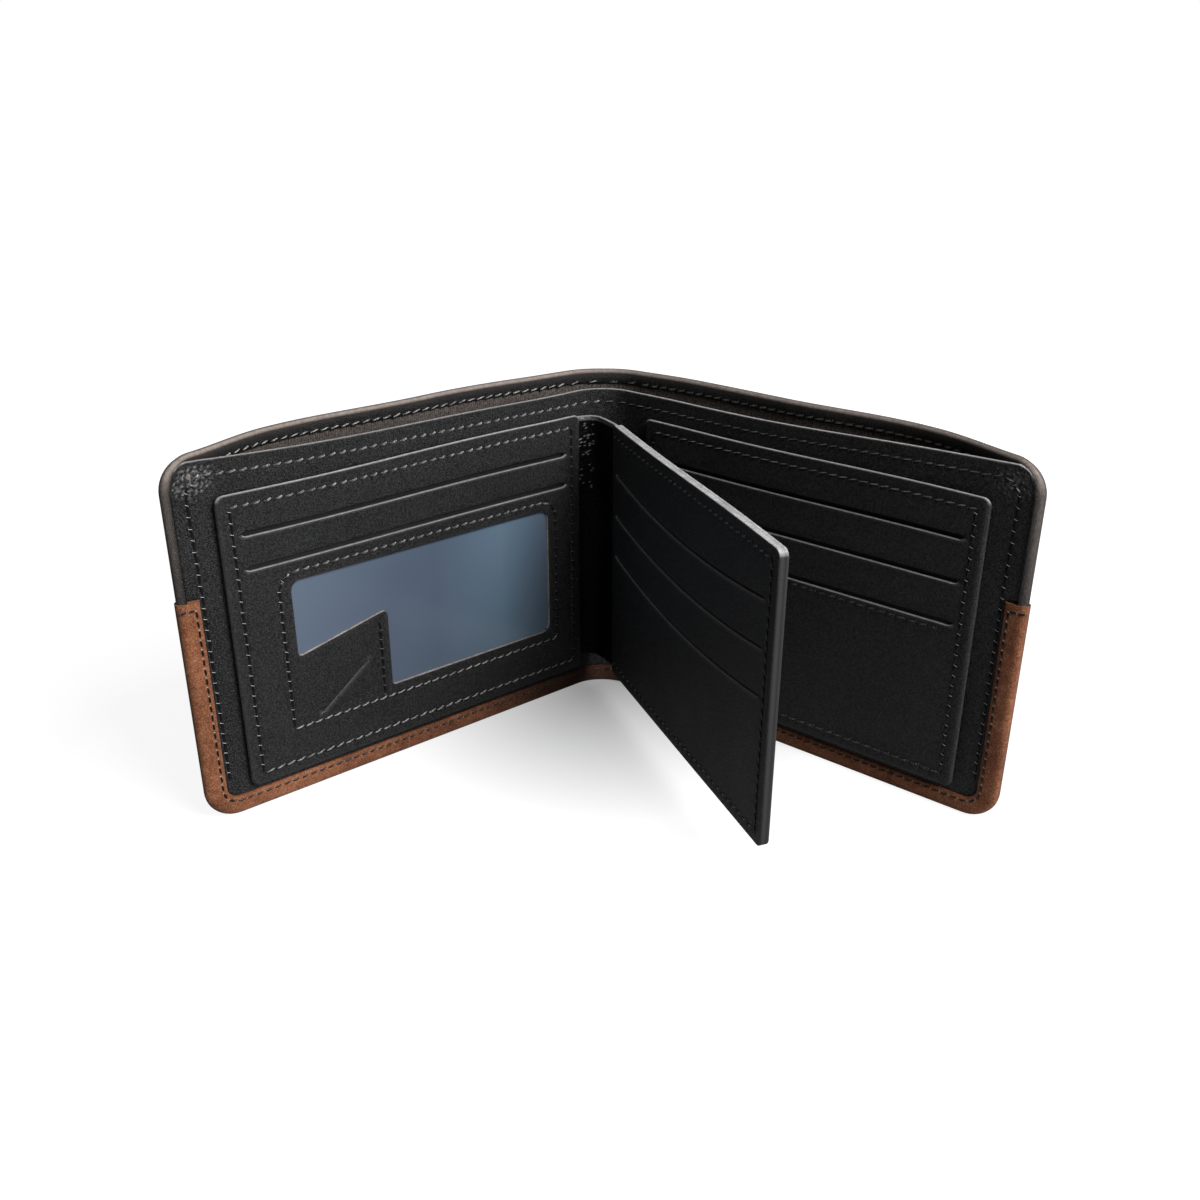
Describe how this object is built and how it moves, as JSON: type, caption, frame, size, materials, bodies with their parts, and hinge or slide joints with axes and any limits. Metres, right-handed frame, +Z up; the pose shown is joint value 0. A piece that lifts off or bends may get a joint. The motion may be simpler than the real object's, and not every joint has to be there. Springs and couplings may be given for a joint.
{
  "type": "wallet",
  "caption": "Bifold card wallet with a flip-out centre leaf: bowed note compartment, suede band lapped round smooth leather, pocket panels with card slots and an identity window.",
  "frame": {"origin": "on the ground, in the middle of the wallet's outline as it stands open", "axes": "+Z up along the height of the cover; +Y towards the spine, so the inside faces -Y; +X towards the right panel, the one with the three straight slots"},
  "size_m": [0.205, 0.1104, 0.098],
  "materials": {
    "black_leather": "smooth fine-grained leather, semi-matt, near black",
    "brown_suede": "matt nubuck, mottled reddish brown",
    "lining_cloth": "fine ribbed lining, brown grey",
    "pocket_cloth": "thin plain woven cloth, black",
    "stiffener": "thin pressed fibre sheet, dark grey",
    "window_film": "thin clear film over a dark ground, slate blue sheen"
  },
  "bodies": {
    "left_panel": {"cover_upper_left": "black_leather", "cover_band_left": "brown_suede", "cover_lining_left": "lining_cloth", "inner_panel_left": "black_leather", "left_pocket_face": "black_leather", "left_pocket_liner_1": "pocket_cloth", "left_pocket_liner_2": "pocket_cloth", "id_window_film": "window_film", "left_pocket_back": "pocket_cloth", "leaf_hinge_strip": "black_leather", "spine_cover_left": "black_leather", "spine_band_left": "brown_suede", "spine_lining_left": "lining_cloth", "spine_inner_left": "black_leather"},
    "leaf": {"leaf_face_left": "black_leather", "leaf_liner_left_1": "pocket_cloth", "leaf_liner_left_2": "pocket_cloth", "leaf_liner_left_3": "pocket_cloth", "leaf_core": "stiffener", "leaf_liner_right_1": "pocket_cloth", "leaf_liner_right_2": "pocket_cloth", "leaf_liner_right_3": "pocket_cloth", "leaf_face_right": "black_leather"},
    "right_panel": {"cover_upper_right": "black_leather", "cover_band_right": "brown_suede", "cover_lining_right": "lining_cloth", "inner_panel_right": "black_leather", "right_pocket_face": "black_leather", "right_pocket_liner_1": "pocket_cloth", "right_pocket_liner_2": "pocket_cloth", "right_pocket_liner_3": "pocket_cloth", "right_pocket_back": "pocket_cloth", "spine_cover_right": "black_leather", "spine_band_right": "brown_suede", "spine_lining_right": "lining_cloth", "spine_inner_right": "black_leather"}
  },
  "joints": [
    {"name": "left_fold", "type": "hinge", "parent": "left_panel", "child": "leaf", "pos_m": [0, 0.04571, 0.049], "axis": [0, 0, 1], "range_deg": [-72, 33], "deforming": ["spine_cover_left", "spine_band_left", "spine_lining_left", "spine_inner_left", "leaf_hinge_strip"]},
    {"name": "right_fold", "type": "hinge", "parent": "leaf", "child": "right_panel", "pos_m": [0, 0.04571, 0.049], "axis": [0, 0, 1], "range_deg": [-30, 75], "deforming": ["spine_cover_right", "spine_band_right", "spine_lining_right", "spine_inner_right"]}
  ]
}
